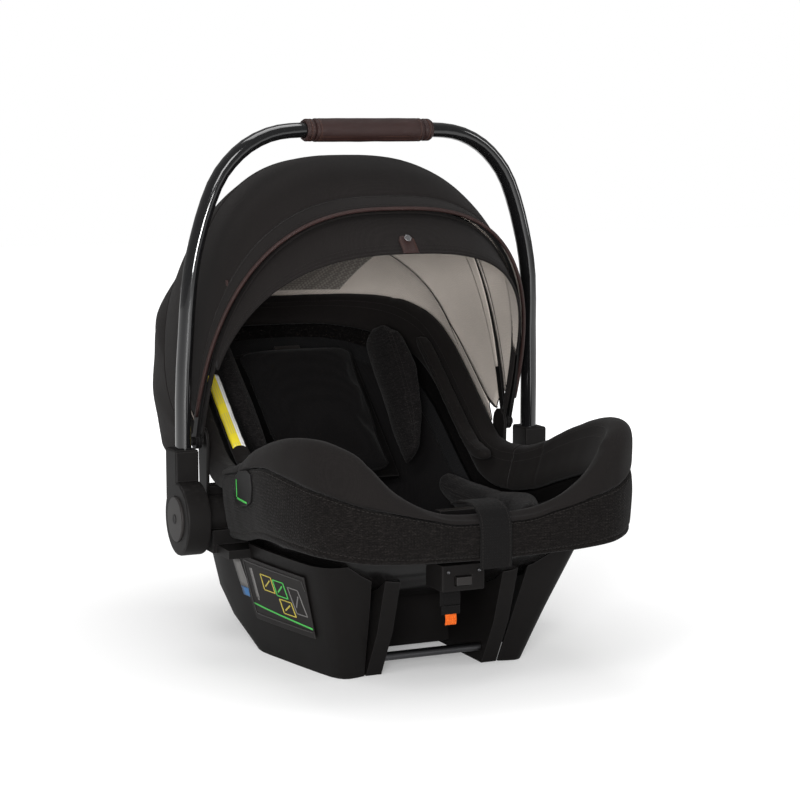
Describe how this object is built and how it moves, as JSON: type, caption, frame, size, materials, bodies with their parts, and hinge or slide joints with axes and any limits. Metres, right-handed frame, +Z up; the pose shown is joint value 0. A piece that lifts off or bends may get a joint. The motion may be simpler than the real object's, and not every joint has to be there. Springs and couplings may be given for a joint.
{
  "type": "infant car seat",
  "caption": "Infant carrier seat: padded bucket shell on a skirted base, with a swinging carry handle, folding canopy with flip-out visor, and sliding head support.",
  "frame": {"origin": "centre of the footprint, on the surface it stands on", "axes": "+X to the viewer's right when facing the front of the seat from outside, +Y towards the head end, +Z up; the front lip faces -Y"},
  "size_m": [0.444, 0.6497, 0.5625],
  "materials": {
    "shell_plastic": "fine satin texture",
    "base_plastic": "fine grain",
    "hub_plastic": "satin",
    "foam": "energy-absorbing foam, matt",
    "rim_fabric": "smooth stretch knit",
    "woven_fabric": "slub woven",
    "seat_fabric": "soft jersey",
    "canopy_fabric": "close woven",
    "webbing": "ribbed webbing",
    "orange_fabric": "woven tag",
    "handle_metal": "gloss black",
    "leather": "stitched, dark brown",
    "steel": "satin",
    "chrome": "polished",
    "dark_steel": "satin",
    "bow_plastic": "satin",
    "panel_plastic": "matt",
    "button_plastic": "satin",
    "red_plastic": "gloss",
    "label_film": "printed film, blank"
  },
  "bodies": {
    "carrier": {"seat_shell": "shell_plastic", "skirt_right": "base_plastic", "skirt_left": "base_plastic", "base_rail_right": "base_plastic", "base_rail_left": "base_plastic", "hub_bracket_right": "base_plastic", "hub_bracket_left": "base_plastic", "belt_guide_right": "hub_plastic", "belt_guide_left": "hub_plastic", "canopy_mount_right": "hub_plastic", "canopy_mount_left": "hub_plastic", "adjuster_housing": "hub_plastic", "buckle": "hub_plastic", "foam_liner": "foam", "rim_strip_front": "rim_fabric", "rim_strip_rear": "rim_fabric", "side_pad_right": "rim_fabric", "side_pad_left": "rim_fabric", "outer_cover": "woven_fabric", "insert_bolster_right": "woven_fabric", "insert_bolster_left": "woven_fabric", "seat_cover": "seat_fabric", "insert_seat": "seat_fabric", "canopy_rear_panel": "canopy_fabric", "front_strap": "webbing", "adjuster_tail": "webbing", "crotch_strap": "webbing", "pull_tag": "orange_fabric", "pivot_pin_right": "steel", "pivot_pin_left": "steel", "front_cross_tube": "dark_steel", "rear_cross_tube": "dark_steel", "cross_wall": "base_plastic", "guide_panel_right": "panel_plastic", "guide_panel_left": "panel_plastic", "care_label": "label_film"},
    "handle": {"handle_tube": "handle_metal", "grip_sleeve": "leather", "grip_cuff_right": "leather", "grip_cuff_left": "leather", "handle_socket_right": "hub_plastic", "handle_socket_left": "hub_plastic"},
    "hub_button_right": {"hub_button_right": "button_plastic"},
    "hub_button_left": {"hub_button_left": "button_plastic"},
    "canopy_mid": {"canopy_mid_bow": "bow_plastic", "canopy_mid_panel": "canopy_fabric"},
    "canopy_front": {"canopy_front_bow": "bow_plastic", "canopy_edge_band": "canopy_fabric", "canopy_front_panel": "canopy_fabric"},
    "visor": {"visor_panel": "canopy_fabric", "visor_tab": "leather", "tab_snap": "chrome"},
    "head_support": {"head_board": "bow_plastic", "head_pad": "seat_fabric", "head_wing_right": "woven_fabric", "head_wing_left": "woven_fabric", "head_lever": "button_plastic"},
    "adjuster_button": {"adjuster_button": "button_plastic"},
    "buckle_button": {"buckle_button": "red_plastic"},
    "release_lever": {"release_lever": "shell_plastic"}
  },
  "joints": [
    {"name": "handle_swing", "type": "hinge", "parent": "carrier", "child": "handle", "pos_m": [0, -0.018, 0.146], "axis": [1, 0, 0], "range_deg": [-95, 95]},
    {"name": "hub_button_right_press", "type": "slide", "parent": "handle", "child": "hub_button_right", "axis": [-1, 0, 0], "range_m": [0, 0.0036], "stiffness_N_per_m": 400},
    {"name": "hub_button_left_press", "type": "slide", "parent": "handle", "child": "hub_button_left", "axis": [1, 0, 0], "range_m": [0, 0.0036], "stiffness_N_per_m": 400},
    {"name": "canopy_fold", "type": "hinge", "parent": "carrier", "child": "canopy_mid", "pos_m": [0, 0.015, 0.222], "axis": [1, 0, 0], "range_deg": [-31, 0], "deforming": ["canopy_mid_panel"]},
    {"name": "canopy_front_fold", "type": "hinge", "parent": "canopy_mid", "child": "canopy_front", "pos_m": [0, 0.015, 0.222], "axis": [1, 0, 0], "range_deg": [-22, 0], "deforming": ["canopy_front_panel"]},
    {"name": "visor_fold", "type": "hinge", "parent": "canopy_front", "child": "visor", "pos_m": [0, 0.015, 0.222], "axis": [1, 0, 0], "range_deg": [-14, 0]},
    {"name": "head_support_slide", "type": "slide", "parent": "carrier", "child": "head_support", "axis": [0, 0.7373, 0.6756], "range_m": [0, 0.03]},
    {"name": "adjuster_press", "type": "slide", "parent": "carrier", "child": "adjuster_button", "axis": [0, 1, 0], "range_m": [0, 0.003], "stiffness_N_per_m": 300},
    {"name": "buckle_press", "type": "slide", "parent": "carrier", "child": "buckle_button", "axis": [0, 1, 0], "range_m": [0, 0.002], "stiffness_N_per_m": 400},
    {"name": "release_pull", "type": "slide", "parent": "carrier", "child": "release_lever", "axis": [0, 0.6756, -0.7373], "range_m": [0, 0.008], "stiffness_N_per_m": 600}
  ],
  "couplings": [
    {"joint": "canopy_front_fold", "follows": "canopy_fold", "ratio": 0.7}
  ]
}
